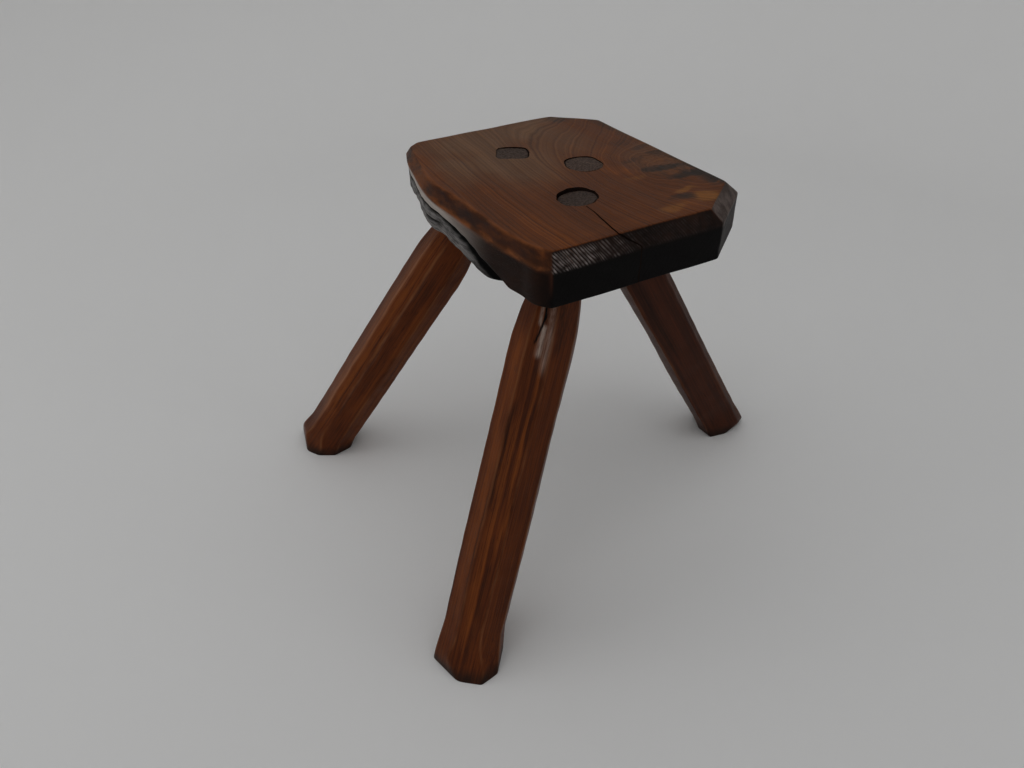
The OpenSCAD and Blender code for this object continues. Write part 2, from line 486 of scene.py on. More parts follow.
def seat_outlines(left, front, right, back, top, bottom):
    """The plank's three levels: inside its bevel, at the bevel's foot, and underneath."""
    inner = level_outline(
        [(back - 17, left + 24), (back - 26, left + 22), (64, left + 17), (14, left + 8),
         (-26, left + 12), (-58, left + 13), (-85, left + 14), (-108, left + 17),
         (-124, left + 22), (front + 9, left + 26)],
        [(right - 53, front + 8.5), (right - 11, front + 41), (right - 10, back - 42.5),
         (right - 42, back - 9), (left + 33, back - 10)],
        top,
    )
    far_corners = [(right + 1.1, back - 33), (right - 32.1, back + 0.9), (left + 35, back - 0.3)]
    outer = level_outline(
        [(back - 5.5, left + 23.5), (back - 27, left + 15.8), (back - 50, left + 10.8),
         (back - 83, left + 4), (3, left + 0.5), (-28, left + 2.5), (-57, left + 4.6),
         (-94, left + 8.5), (-116, left + 12), (-135, left + 16), (front, left + 21)],
        [(right - 48, front - 0.6), (right - 0.9, front + 36), *far_corners],
        top - BEVEL,
    )
    lower = level_outline(
        [(back - 10, left + 23), (86, left + 20), (66, left + 16), (41, left + 9),
         (14, left + 5), (-1, left + 8), (-25, left + 6.5), (-56, left + 5.2),
         (-71, left + 4.2), (-91, left + 7.5), (-115, left + 12), (-136, left + 16),
         (front, left + 21)],
        [(right - 48, front - 0.9), (right - 0.7, front + 36), *far_corners],
        bottom - 1.1,
    )
    return inner, outer, lower


def seat_piece(legs, material, inner_material):
    """The plank: bevelled top, natural edge with bark, ridged end grain, holes and split."""
    low, high = (np.array(corner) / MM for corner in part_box("seat"))
    top, bottom = high[2], low[2]
    inner, outer, lower = seat_outlines(low[0], low[1], high[0], high[1], top, bottom)
    # Both faces close at the right leg's line, so its hole takes the points where they meet.
    line = LegLine("leg_right", legs["leg_right"]["mount"])
    top_hub = np.array([line.top[0], line.top[1], top])
    sink = (top - bottom) / -line.down[2]
    bottom_hub = top_hub + line.down * sink
    top_in = pulled_in(inner, top_hub, RIM_WIDTH)
    bottom_in = pulled_in(lower, bottom_hub, RIM_WIDTH)
    profile = soften(np.concatenate([
        between(top_in, inner, TOP_RIM_RINGS), between(inner, outer, BEVEL_RINGS),
        between(outer, lower, SIDE_RINGS), between(lower, bottom_in, BOTTOM_RIM_RINGS),
        bottom_in[None],
    ]), ROUNDING_PASSES)
    shrink = np.linspace(1, 0.05, CAP_RINGS)[1:, None, None]
    top_rings = top_hub + (profile[0] - top_hub) * shrink[::-1]
    bottom_rings = bottom_hub + (profile[-1] - bottom_hub) * shrink
    rings = np.concatenate([top_rings, profile, bottom_rings])
    inner_at = len(top_rings) + TOP_RIM_RINGS
    depth, layers = seat_relief(rings, inner_at, inner_at + BEVEL_RINGS, EDGE_COUNTS[0])
    rings = rings + outward(rings) * depth[..., None]
    lowest = low - [NATURAL_MARGIN, RELIEF_MARGIN, RELIEF_MARGIN]
    highest = high + [RELIEF_MARGIN, RELIEF_MARGIN, 0]
    rings = np.clip(rings, lowest, highest)
    piece = closed_mesh("seat_plank", rings, top_hub, bottom_hub, layers)
    piece.data.materials.append(material)
    cutters = [hole_cutter(name, leg) for name, leg in legs.items()]
    for cutter in [*cutters, split_cutter(top, bottom)]:
        cutter.data.materials.append(inner_material)
        cut(piece, cutter)
    finish_piece(piece, "seat")


def hole_cutter(name, leg):
    """A closed tube along a leg's line, a little wider than its tenon."""
    line = LegLine(name, leg["mount"])
    angle = np.tile(np.linspace(0, 2 * np.pi, COLUMNS, endpoint=False), (2, 1))
    far = np.maximum(np.cos(angle - math.radians(leg["gap_turn"])), 0) ** 2
    snug = leg["gap"] * (1 + np.maximum(1 + 1.3 * unevenness(angle, leg["seed"] + 1), 0))
    radius = tenon_radius(leg, angle) + snug + leg["gap_extra"] * far
    distance = np.array(HOLE_RUN)[:, None] + np.zeros_like(angle)
    rings = line.at(distance, angle, radius)
    return closed_mesh(name + "_hole", rings, rings[0].mean(0), rings[1].mean(0))


def split_cutter(top, bottom):
    """A thin upright blade along the drying split."""
    split = np.array(SPLIT)
    path, widths = split[:, :2], split[:, 2:]
    tangent = np.gradient(path, axis=0)
    across = np.stack([-tangent[:, 1], tangent[:, 0]], -1)
    across /= np.linalg.norm(across, axis=1, keepdims=True)
    sides = across * widths / 2
    outline = np.concatenate([path - sides, (path + sides)[::-1]])
    above, below = top + CUT_MARGIN, bottom - CUT_MARGIN
    rings = np.stack([
        np.column_stack([outline, np.full(len(outline), height)]) for height in (above, below)
    ])
    middle = path[len(path) // 2]
    return closed_mesh("split", rings, (*middle, above), (*middle, below))


def cut(piece, cutter):
    """Takes the cutter out of the piece and removes the cutter."""
    modifier = piece.modifiers.new("cut", "BOOLEAN")
    modifier.operation = "DIFFERENCE"
    modifier.solver = "EXACT"
    modifier.material_mode = "TRANSFER"
    modifier.object = cutter
    graph = bpy.context.evaluated_depsgraph_get()
    mesh = bpy.data.meshes.new_from_object(piece.evaluated_get(graph))
    piece.modifiers.clear()
    piece.data = mesh
    bpy.data.objects.remove(cutter)


def finish_piece(piece, node):
    """Smooth shading with real edges kept, and the piece's place in the frame."""
    mesh = piece.data
    mesh.shade_smooth()
    mesh.set_sharp_from_angle(angle=math.radians(SHARP_ANGLE))
    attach(piece, "root")
    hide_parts(node)


# ---------------------------------------- materials


class Shader:
    """A material's nodes, with short ways to add the ones that a wood finish needs."""

    def __init__(self, name):
        self.material = bpy.data.materials.new(name)
        self.material.use_nodes = True
        self.tree = self.material.node_tree
        self.surface = self.tree.nodes["Principled BSDF"]

    def node(self, kind, inputs, **settings):
        """A new node. Each input is a value or another node's output socket."""
        made = self.tree.nodes.new(kind)
        for setting, value in settings.items():
            setattr(made, setting, value)
        for key, value in inputs.items():
            self.put(made.inputs[key], value)
        return made

    def put(self, socket, value):
        if isinstance(value, bpy.types.NodeSocket):
            self.tree.links.new(value, socket)
        else:
            socket.default_value = value

    def math(self, operation, *values):
        inputs = dict(enumerate(values))
        return self.node("ShaderNodeMath", inputs, operation=operation).outputs[0]

    def vector(self, operation, *values, output="Vector"):
        inputs = dict(enumerate(values))
        return self.node("ShaderNodeVectorMath", inputs, operation=operation).outputs[output]

    def millimetres(self):
        """The place on the piece, in millimetres."""
        position = self.node("ShaderNodeTexCoord", {}).outputs["Object"]
        scaled = self.vector("SCALE", position)
        scaled.node.inputs["Scale"].default_value = 1 / MM
        return scaled

    def stretched(self, at, wavelengths):
        """The coordinates measured in wavelengths along each axis."""
        return self.vector("DIVIDE", at, wavelengths)

    def noise(self, at, detail, rough=0.5):
        inputs = {"Vector": at, "Scale": 1, "Detail": detail, "Roughness": rough}
        return self.node("ShaderNodeTexNoise", inputs).outputs["Fac"]

    def streak(self, value, detail, rough):
        """Noise along one number, for lines of uneven width."""
        inputs = {"W": value, "Scale": 1, "Detail": detail, "Roughness": rough}
        made = self.node("ShaderNodeTexNoise", inputs, noise_dimensions="1D")
        return made.outputs["Fac"]

    def band(self, value, low, high, to_low=0.0, to_high=1.0):
        """A smooth change from to_low to to_high as the value goes from low to high."""
        inputs = {"Value": value, "From Min": low, "From Max": high}
        inputs.update({"To Min": to_low, "To Max": to_high})
        made = self.node("ShaderNodeMapRange", inputs, interpolation_type="SMOOTHSTEP")
        return made.outputs["Result"]

    def mix(self, amount, first, second):
        """The first colour where amount is 0, the second where it is 1."""
        made = self.node("ShaderNodeMix", {}, data_type="RGBA")
        self.put(made.inputs[0], amount)
        self.put(made.inputs[6], first)
        self.put(made.inputs[7], second)
        return made.outputs[2]

    def attribute(self, name, output="Fac"):
        made = self.node("ShaderNodeAttribute", {}, attribute_name=name)
        return made.outputs[output]

    def gloss(self, specular, coat=0.0, coat_roughness=0.03):
        """How much the finish and its thin coat reflect."""
        self.surface.inputs["Specular IOR Level"].default_value = specular
        self.surface.inputs["Coat Weight"].default_value = coat
        self.surface.inputs["Coat Roughness"].default_value = coat_roughness

    def finish(self, colour, roughness, height, strength):
        """Joins the colour, roughness and relief to the surface."""
        bump = self.node("ShaderNodeBump", {"Height": height})
        bump.inputs["Strength"].default_value = strength
        bump.inputs["Distance"].default_value = GRAIN_RELIEF
        self.put(self.surface.inputs["Base Color"], colour)
        self.put(self.surface.inputs["Roughness"], roughness)
        self.put(self.surface.inputs["Normal"], bump.outputs["Normal"])
        return self.material


def rgb(red, green, blue):
    return (red, green, blue, 1.0)


def wood_grain(shader, at, across, along):
    """Shared fibres: fine streaks and short dark pores, much longer along the grain."""
    fibre = shader.noise(shader.stretched(at, across), 4, 0.62)
    pores = shader.noise(shader.stretched(at, along), 2, 0.5)
    return fibre, shader.band(pores, 0.60, 0.72)


# Knot in the seat: its centre seen from above, its radius, and its length over its width.
KNOT_AT = (76, -56)
KNOT_RADIUS = 46
KNOT_STRETCH = 1.25
# Blotches on the seat's top: centre, half sizes and strength.
GREY_BLOTCHES = [
    (50, -50, 11, 6, 0.85), (66, -54, 13, 6, 0.9), (65, -74, 16, 7, 0.95), (78, -88, 10, 14, 0.85),
    (83, -70, 7, 30, 0.7), (84, -106, 8, 15, 0.8), (37, -107, 11, 6, 0.8), (58, 98, 22, 16, 0.6),
    (66, 12, 16, 9, 0.3), (-97, 92, 6, 8, 0.8), (46, -27, 13, 5, 0.45), (74, -6, 11, 6, 0.4),
    (76, -24, 10, 6, 0.35), (80, 60, 8, 40, 0.5),
]
AMBER_BLOTCHES = [
    (25, -36, 10, 9, 0.5), (-80, -80, 16, 60, 0.35), (62, -40, 10, 5, 0.6), (-88, 40, 9, 50, 0.35),
    (60, -63, 9, 4, 0.6), (-10, -122, 60, 8, 0.35), (30, -46, 10, 7, 0.6), (-6, -102, 24, 12, 0.3),
]
HONEY_BLOTCHES = [
    (51, -114, 12, 7, 1.0), (46, -97, 10, 5, 0.8), (19, -119, 13, 5, 0.7), (31, -60, 9, 5, 0.4),
]
# Tan places, partly a painted sheen towards the left and back of the top.
TAN_AND_SHEEN_BLOTCHES = [
    (-34, 10, 38, 50, 0.75), (-52, 48, 34, 40, 0.5), (-30, 86, 64, 30, 0.8), (20, 50, 30, 50, 0.5),
    (40, 105, 40, 16, 0.6), (-84, 26, 16, 38, 0.6), (70, -38, 36, 44, 0.35),
]


def blotches(s, at, spots):
    """Soft uneven spots. Each is a centre, two half sizes and a strength, seen from above."""
    total = 0.0
    for x, y, half_x, half_y, strength in spots:
        offset = s.vector("DIVIDE", s.vector("SUBTRACT", at, (x, y, 0)), (half_x, half_y, 1e6))
        away = s.vector("LENGTH", offset, output="Value")
        spot = s.math("MULTIPLY", s.band(away, 1.30, 0.40), strength)
        total = s.math("ADD", total, spot)
    return total


def seat_grain(s, at):
    """Growth lines of the seat, as a distance across them, and the distance from the knot."""
    x, y, z = s.node("ShaderNodeSeparateXYZ", {0: at}).outputs
    drift = s.math("SUBTRACT", s.noise(s.stretched(at, (60, 170, 60)), 2), 0.5)
    wobble = s.math("SUBTRACT", s.noise(s.stretched(at, (13, 45, 13)), 2), 0.5)
    # Behind the knot the lines fan out to the right.
    behind = s.math("MAXIMUM", s.math("ADD", y, 12.0), 0.0)
    lean = s.math("MULTIPLY", behind, s.band(x, -30, 75, 0.03, 0.62))
    x = s.math("MULTIPLY_ADD", drift, 16.0, s.math("SUBTRACT", x, lean))
    x = s.math("MULTIPLY_ADD", wobble, 2.6, x)
    # Lines flow round the knot as water flows round a post, and circle inside it.
    east = s.math("SUBTRACT", x, KNOT_AT[0])
    north = s.math("DIVIDE", s.math("SUBTRACT", y, KNOT_AT[1]), KNOT_STRETCH)
    square = s.math("ADD", s.math("MULTIPLY", east, east), s.math("MULTIPLY", north, north))
    away = s.math("SQRT", square)
    pull = s.math("MINIMUM", s.math("DIVIDE", KNOT_RADIUS**2, square), 1.0)
    stream = s.math("MULTIPLY", east, s.math("SUBTRACT", 1.0, pull))
    swirl = s.math("SUBTRACT", s.noise(s.stretched(at, (26, 34, 20)), 2), 0.5)
    inside = s.math("MAXIMUM", s.math("SUBTRACT", KNOT_RADIUS, away), 0.0)
    inside = s.math("MULTIPLY", inside, s.math("MULTIPLY_ADD", swirl, 1.6, 0.8))
    ring = s.math("ADD", inside, stream)
    # The growth lines slant down through the plank, so its sides show them too.
    return s.math("MULTIPLY_ADD", s.math("SUBTRACT", z, 258), -0.55, ring), away


def seat_tone(s, ring, fibre):
    """How pale the wood is, from its dark lines to its bright ones, and the fine lines alone."""
    lines = s.streak(s.math("DIVIDE", ring, 3.1), 3, 0.7)
    broad = s.streak(s.math("DIVIDE", ring, 17.0), 2, 0.5)
    wave = s.math("SINE", s.math("MULTIPLY", ring, 2 * math.pi / 3.3))
    tone = s.math("MULTIPLY_ADD", lines, 0.9, s.math("MULTIPLY", wave, 0.07))
    tone = s.math("MULTIPLY_ADD", s.math("SUBTRACT", fibre, 0.5), 0.55, tone)
    return s.math("MULTIPLY_ADD", s.math("SUBTRACT", broad, 0.5), 0.5, tone), lines


def seat_top_colour(s, at, tone, pores, stain, away):
    """Stained brown with amber, honey and tan places, the tan partly a painted sheen, dark pores
    and grey blotches.
    """
    patches = s.noise(s.stretched(at, (48, 60, 40)), 4, 0.6)
    level = s.band(tone, 0.1, 0.8)
    warp = s.node("ShaderNodeTexNoise", {"Vector": s.stretched(at, (17, 21, 17)), "Scale": 1})
    warp = s.vector("SUBTRACT", warp.outputs["Color"], (0.5, 0.5, 0.5))
    warp = s.vector("ADD", at, s.vector("MULTIPLY", warp, (18, 20, 0)))
    colour = s.mix(level, rgb(0.080, 0.0240, 0.0060), rgb(0.166, 0.0500, 0.0100))
    amber = s.mix(level, rgb(0.105, 0.027, 0.004), rgb(0.265, 0.083, 0.0140))
    glow = s.math("ADD", s.band(patches, 0.44, 0.68, 0, 0.5), blotches(s, warp, AMBER_BLOTCHES))
    colour = s.mix(s.math("MINIMUM", glow, 1.0), colour, amber)
    on_lines = s.band(tone, 0.0, 0.7, 0.25, 0.85)
    honey = s.math("MULTIPLY", blotches(s, warp, HONEY_BLOTCHES), on_lines)
    colour = s.mix(honey, colour, rgb(0.300, 0.125, 0.022))
    # Tan places: partly paler wood, partly a painted sheen towards the left and back.
    tan = s.mix(level, rgb(0.110, 0.053, 0.0255), rgb(0.222, 0.118, 0.0590))
    colour = s.mix(s.math("MINIMUM", blotches(s, warp, TAN_AND_SHEEN_BLOTCHES), 0.9), colour, tan)
    colour = s.mix(s.math("MULTIPLY", pores, 0.45), colour, rgb(0.018, 0.005, 0.002))
    # Grey black blotches, most of them at the knot, with the lines still showing.
    at_knot = s.band(away, KNOT_RADIUS * 0.95, 8, 0, 0.6)
    blotch = s.math("MULTIPLY", s.band(stain, 0.52, 0.62), at_knot)
    blotch = s.math("ADD", blotch, blotches(s, warp, GREY_BLOTCHES))
    blotch = s.math("MULTIPLY", blotch, s.band(tone, 0.95, 0.25, 0.45, 1))
    grey = s.mix(s.band(tone, 0.2, 0.8), rgb(0.013, 0.010, 0.008), rgb(0.040, 0.028, 0.021))
    return s.mix(s.math("MINIMUM", blotch, 0.9), colour, grey)


def seat_side_colour(s, at, colour, smudge, stain, end_grain, facing):
    """The bevels and sides: dull end grain, a painted grey sheen on the right bevels and the
    clipped corner, and painted shade that makes the front face near black.
    """
    z = s.node("ShaderNodeSeparateXYZ", {0: at}).outputs[2]
    off_top = s.math("SUBTRACT", 1.0, s.band(facing.outputs[2], 0.80, 0.97))
    smudged = s.math("MULTIPLY", off_top, s.band(smudge, 0.40, 0.62, 0.1, 0.7))
    colour = s.mix(smudged, colour, rgb(0.030, 0.010, 0.0035))
    stained = s.band(stain, 0.4, 0.65)
    dull = s.mix(stained, rgb(0.0052, 0.0036, 0.0030), rgb(0.017, 0.010, 0.008))
    colour = s.mix(s.math("MULTIPLY", end_grain, 0.93), colour, dull)
    cloudy = s.band(smudge, 0.35, 0.65)
    bevel_grey = s.mix(cloudy, rgb(0.052, 0.037, 0.031), rgb(0.145, 0.110, 0.098))
    side_grey = s.mix(cloudy, rgb(0.130, 0.107, 0.102), rgb(0.265, 0.225, 0.216))
    grey_sheen = s.mix(s.band(z, BEVEL_FOOT, BEVEL_FOOT - 4), bevel_grey, side_grey)
    to_right, to_front = facing.outputs[0], s.math("MULTIPLY", facing.outputs[1], -1.0)
    # Painted sheen: bevels facing right are painted grey.
    right_edge = s.math("MULTIPLY", off_top, s.band(to_right, 0.3, 0.5, 0, 0.55))
    colour = s.mix(right_edge, colour, bevel_grey)
    # Only the clipped front right corner gets the pale painted sheen all the way down.
    clip = s.math("MULTIPLY", s.band(to_right, 0.15, 0.35), s.band(to_front, 0.1, 0.35))
    clip = s.math("MULTIPLY", clip, off_top)
    colour = s.mix(s.math("MULTIPLY", clip, 0.88), colour, grey_sheen)
    lower = s.band(z, BEVEL_FOOT, BEVEL_FOOT - 4.5)
    darkened = s.math("MULTIPLY", lower, s.math("MULTIPLY_ADD", clip, -0.78, 0.88))
    colour = s.mix(darkened, colour, rgb(0.0085, 0.0029, 0.0016))
    # Painted shade: the upright front face is painted near black.
    front_face = s.math("MULTIPLY", lower, s.band(to_front, 0.6, 0.85))
    return s.mix(s.math("MULTIPLY", front_face, 0.9), colour, rgb(0.0022, 0.0018, 0.0018))


def seat_worn_colour(s, colour, smudge, stain, crack):
    """Dark dashes, worn arrises, a painted highlight on the front left corner, bark and worn wood
    with a painted sheen on the natural edge, painted shade in its grooves, and painted highlights
    on the ridges.
    """
    dash = s.math("MULTIPLY", s.attribute("dash"), s.band(smudge, 0.34, 0.60, 0.55, 1))
    shade = s.mix(s.band(stain, 0.4, 0.6), rgb(0.054, 0.0225, 0.0150), rgb(0.029, 0.0185, 0.0185))
    colour = s.mix(s.math("MULTIPLY", dash, 0.88), colour, shade)
    rim = s.math("MULTIPLY", s.attribute("rim"), s.band(smudge, 0.62, 0.40, 0.2, 0.75))
    colour = s.mix(rim, colour, rgb(0.27, 0.100, 0.036))
    # Painted highlight down the front left corner's upright edge.
    corner = s.math("MULTIPLY", s.attribute("corner"), 0.55)
    colour = s.mix(corner, colour, rgb(0.10, 0.035, 0.018))
    # Worn wood above the fissure, its pale grey partly a painted sheen.
    worn = s.math("MULTIPLY", s.attribute("worn"), s.band(smudge, 0.3, 0.6, 0.75, 1))
    colour = s.mix(worn, colour, rgb(0.430, 0.380, 0.345))
    crust = s.mix(s.band(crack, 0.36, 0.62), rgb(0.085, 0.080, 0.077), rgb(0.250, 0.237, 0.230))
    colour = s.mix(s.attribute("bark"), colour, crust)
    # Painted shade in the fissure, along the bark's lower edge and over the bark towards the
    # front.
    colour = s.mix(s.attribute("dark"), colour, rgb(0.002, 0.0018, 0.0016))
    # Painted highlights on the ridges' crests.
    return s.mix(s.attribute("ridge"), colour, rgb(0.39, 0.34, 0.325))


def seat_wood():
    """Dark stained hardwood: straight lines that flow round one knot, bark on the left edge."""
    s = Shader("seat_wood")
    at = s.millimetres()
    ring, away = seat_grain(s, at)
    fibre, pores = wood_grain(s, at, (0.9, 38, 0.9), (0.55, 9, 0.55))
    tone, lines = seat_tone(s, ring, fibre)
    stain = s.noise(s.stretched(at, (24, 34, 24)), 5, 0.65)
    smudge = s.noise(s.stretched(at, (7, 24, 7)), 4, 0.6)
    crack = s.noise(s.stretched(at, (5, 15, 2.2)), 5, 0.7)
    normal = s.node("ShaderNodeNewGeometry", {}).outputs["Normal"]
    facing = s.node("ShaderNodeSeparateXYZ", {0: normal})
    end_grain = s.band(s.math("ABSOLUTE", facing.outputs[1]), 0.42, 0.72)
    colour = seat_top_colour(s, at, tone, pores, stain, away)
    colour = seat_side_colour(s, at, colour, smudge, stain, end_grain, facing)
    colour = seat_worn_colour(s, colour, smudge, stain, crack)
    dull_places = s.math("MAXIMUM", s.attribute("bark"), s.math("MULTIPLY", end_grain, 0.5))
    roughness = s.band(fibre, 0.3, 0.7, 0.40, 0.52)
    roughness = s.math("MULTIPLY_ADD", dull_places, 0.40, roughness)
    relief = s.math("MULTIPLY_ADD", fibre, 0.5, lines)
    relief = s.math("MULTIPLY_ADD", pores, -0.5, relief)
    cracked = s.math("MULTIPLY", crack, s.attribute("bark"))
    relief = s.math("MULTIPLY_ADD", cracked, 3.0, relief)
    s.gloss(0.13, 0.05, 0.25)
    return s.finish(colour, roughness, relief, 0.5)


def hole_wood():
    """Dark, dull wood inside the tenon holes and the split."""
    s = Shader("hole_wood")
    fibre = s.noise(s.stretched(s.millimetres(), (1.2, 20, 1.2)), 3, 0.6)
    colour = s.mix(fibre, rgb(0.006, 0.003, 0.002), rgb(0.022, 0.010, 0.006))
    s.gloss(0.1)
    return s.finish(colour, s.band(fibre, 0.3, 0.7, 0.7, 0.85), fibre, 0.5)


def leg_lines(s, at, turn):
    """Fine and broad growth lines of a leg, which cross it in the direction of turn."""
    x, y, z = s.node("ShaderNodeSeparateXYZ", {0: at}).outputs
    drift = s.math("SUBTRACT", s.noise(s.stretched(at, (30, 30, 240)), 2), 0.5)
    ring = s.math("MULTIPLY", x, math.cos(math.radians(turn)))
    ring = s.math("MULTIPLY_ADD", y, math.sin(math.radians(turn)), ring)
    ring = s.math("MULTIPLY_ADD", drift, 9.0, ring)
    ring = s.math("MULTIPLY_ADD", z, 0.006, ring)
    lines = s.streak(s.math("DIVIDE", ring, 2.6), 3, 0.7)
    return lines, s.streak(s.math("DIVIDE", ring, 11.0), 2, 0.5)


def leg_marks_colour(s, at, colour, fibre, pores, patches, worn, end_tone):
    """Stains, pores, worn arrises, painted highlights, the sole darker near the floor, the tenon's
    end, and painted shade in the checks.
    """
    mark = s.math("MULTIPLY", s.attribute("stains"), s.band(fibre, 0.62, 0.42, 0.5, 1))
    colour = s.mix(mark, colour, rgb(0.0100, 0.0036, 0.0018))
    colour = s.mix(s.math("MULTIPLY", pores, 0.5), colour, rgb(0.010, 0.003, 0.0015))
    wear = s.math("MULTIPLY", s.attribute("wear"), s.band(patches, 0.35, 0.6))
    colour = s.mix(s.math("MULTIPLY", wear, 0.45), colour, worn)
    # Painted highlights: pale patches where shiny facets catch the light.
    painted_highlights = s.math("MULTIPLY", s.attribute("painted_highlights"), s.band(fibre, 0.35, 0.6, 0.4, 1))
    colour = s.mix(painted_highlights, colour, rgb(0.42, 0.335, 0.285))
    # Darker near the floor, at the sole.
    low_darkening = s.math("MULTIPLY", s.attribute("sole"), s.band(patches, 0.3, 0.6, 0.5, 0.95))
    colour = s.mix(low_darkening, colour, rgb(0.018, 0.009, 0.006))
    end_grain = s.noise(s.stretched(at, (1.6, 1.6, 3)), 4, 0.7)
    end_dark = rgb(0.032 * end_tone, 0.020 * end_tone, 0.015 * end_tone)
    end_pale = rgb(0.100 * end_tone, 0.066 * end_tone, 0.050 * end_tone)
    end_colour = s.mix(s.band(end_grain, 0.35, 0.65), end_dark, end_pale)
    colour = s.mix(s.attribute("tenon_end"), colour, end_colour)
    # Painted shade: the checks are painted near black.
    return s.mix(s.band(s.attribute("check"), 0.1, 0.6), colour, rgb(0.003, 0.0015, 0.001))


def leg_wood(name, seed, tones, turn, end_tone):
    """Reddish brown stained hardwood with long dark streaks, paler on its worn arrises.

    tones are its dark lines, its pale lines, its glowing streaks and its worn arrises.
    The growth lines cross the leg in the direction of turn, from its outer side, and
    end_tone is how pale the tenon's end is.
    """
    deep, bright, glow, worn = (rgb(*tone) for tone in tones)
    s = Shader(name)
    shift = (seed * 31.0, seed * 17.0, seed * 230.0)
    at = s.vector("ADD", s.attribute("grain", "Vector"), shift)
    lines, broad = leg_lines(s, at, turn)
    fibre, pores = wood_grain(s, at, (0.9, 0.9, 45), (0.6, 0.6, 12))
    patches = s.noise(s.stretched(at, (14, 14, 70)), 4, 0.6)
    tone = s.math("MULTIPLY_ADD", s.math("SUBTRACT", fibre, 0.5), 0.9, lines)
    tone = s.math("MULTIPLY_ADD", s.math("SUBTRACT", broad, 0.5), 0.5, tone)
    tone = s.math("MULTIPLY_ADD", s.math("SUBTRACT", patches, 0.5), 0.8, tone)
    tone = s.math("MULTIPLY_ADD", s.attribute("glows"), 0.35, tone)
    colour = s.mix(s.band(tone, 0.02, 0.95), deep, bright)
    glowing = s.math("MULTIPLY", s.attribute("glows"), s.band(tone, 0.3, 0.9))
    colour = s.mix(glowing, colour, glow)
    colour = leg_marks_colour(s, at, colour, fibre, pores, patches, worn, end_tone)
    roughness = s.band(fibre, 0.3, 0.7, 0.36, 0.50)
    roughness = s.math("MULTIPLY_ADD", s.attribute("tenon_end"), 0.2, roughness)
    relief = s.math("MULTIPLY_ADD", fibre, 0.5, lines)
    relief = s.math("MULTIPLY_ADD", pores, -0.5, relief)
    s.gloss(0.15, 0.08, 0.2)
    return s.finish(colour, roughness, relief, 0.45)


# ---------------------------------------- studio


def studio():
    """A plain pale floor that curves up all round into a wall."""
    spin = np.linspace(0, 2 * np.pi, 128, endpoint=False)
    bend = np.linspace(0, np.pi / 2, 16)
    floor_r, cove_r, wall_h = 1000, 450, 1500
    radii = [0.4 * floor_r, 0.8 * floor_r, *(floor_r + cove_r * np.sin(bend)), floor_r + cove_r]
    heights = [0, 0, *(cove_r * (1 - np.cos(bend))), wall_h]
    rings = np.stack([
        np.column_stack([r * np.cos(spin), r * np.sin(spin), np.full(len(spin), h)])
        for r, h in zip(radii, heights)
    ])
    corners, following = neighbours(rings)
    quads = np.stack([corners[:-1], following[:-1], following[1:], corners[1:]], -1).reshape(-1, 4)
    fan = [(int(b), int(a), corners.size) for a, b in zip(corners[0], following[0])]
    points = np.concatenate([rings.reshape(-1, 3), [(0, 0, 0)]]) * MM
    mesh = bpy.data.meshes.new("floor")
    mesh.from_pydata(points.tolist(), [], [tuple(map(int, q)) for q in quads] + fan)
    mesh.shade_smooth()
    floor = bpy.data.objects.new("floor", mesh)
    bpy.context.scene.collection.objects.link(floor)
    floor.visible_shadow = False
    paint = Shader("floor_paint")
    paint.surface.inputs["Base Color"].default_value = rgb(0.835, 0.832, 0.825)
    paint.surface.inputs["Roughness"].default_value = 0.7
    floor.data.materials.append(paint.material)


def light(name, at, aim, size, power):
    """A square soft light at a place, aimed at a point, all in metres."""
    data = bpy.data.lights.new(name, "AREA")
    data.size = size
    data.energy = power
    lamp = bpy.data.objects.new(name, data)
    place = Vector(at)
    turn = (Vector(aim) - place).to_track_quat("-Z", "Y").to_matrix().to_4x4()
    lamp.matrix_world = Matrix.Translation(place) @ turn
    lamp.visible_camera = False
    bpy.context.scene.collection.objects.link(lamp)


def lighting():
    """Pale surroundings, a wide soft light overhead, one from the left, and two weak fills."""
    world = bpy.data.worlds.new("surroundings")
    world.use_nodes = True
    glow = world.node_tree.nodes["Background"]
    glow.inputs["Color"].default_value = rgb(0.975, 0.985, 1.0)
    glow.inputs["Strength"].default_value = 0.31
    bpy.context.scene.world = world
    light("ceiling", (-0.3, 0.1, 2.3), (0, 0, 0), 2.6, 5.2)
    light("window", (-1.9, 0.8, 1.3), (0, 0, 0.15), 1.3, 3.5)
    light("fill_left", (-1.75, -0.9, 0.7), (0, 0, 0.1), 1.0, 1.9)
    light("fill_right", (1.15, -1.6, 0.7), (0, 0, 0.1), 1.0, 1.5)
    bpy.context.scene.view_settings.view_transform = "Standard"
    bpy.context.scene.view_settings.look = "Medium High Contrast"


# ---------------------------------------- assembly

# Leg colours: dark lines, pale lines, glowing streaks and worn arrises.
CHESTNUT = (
    (0.053, 0.0122, 0.0030), (0.168, 0.0440, 0.0076), (0.245, 0.0740, 0.0120),
    (0.30, 0.140, 0.060),
)
DUSKY = (
    (0.039, 0.0124, 0.0064), (0.094, 0.0280, 0.0114), (0.126, 0.0450, 0.0136),
    (0.16, 0.075, 0.041),
)
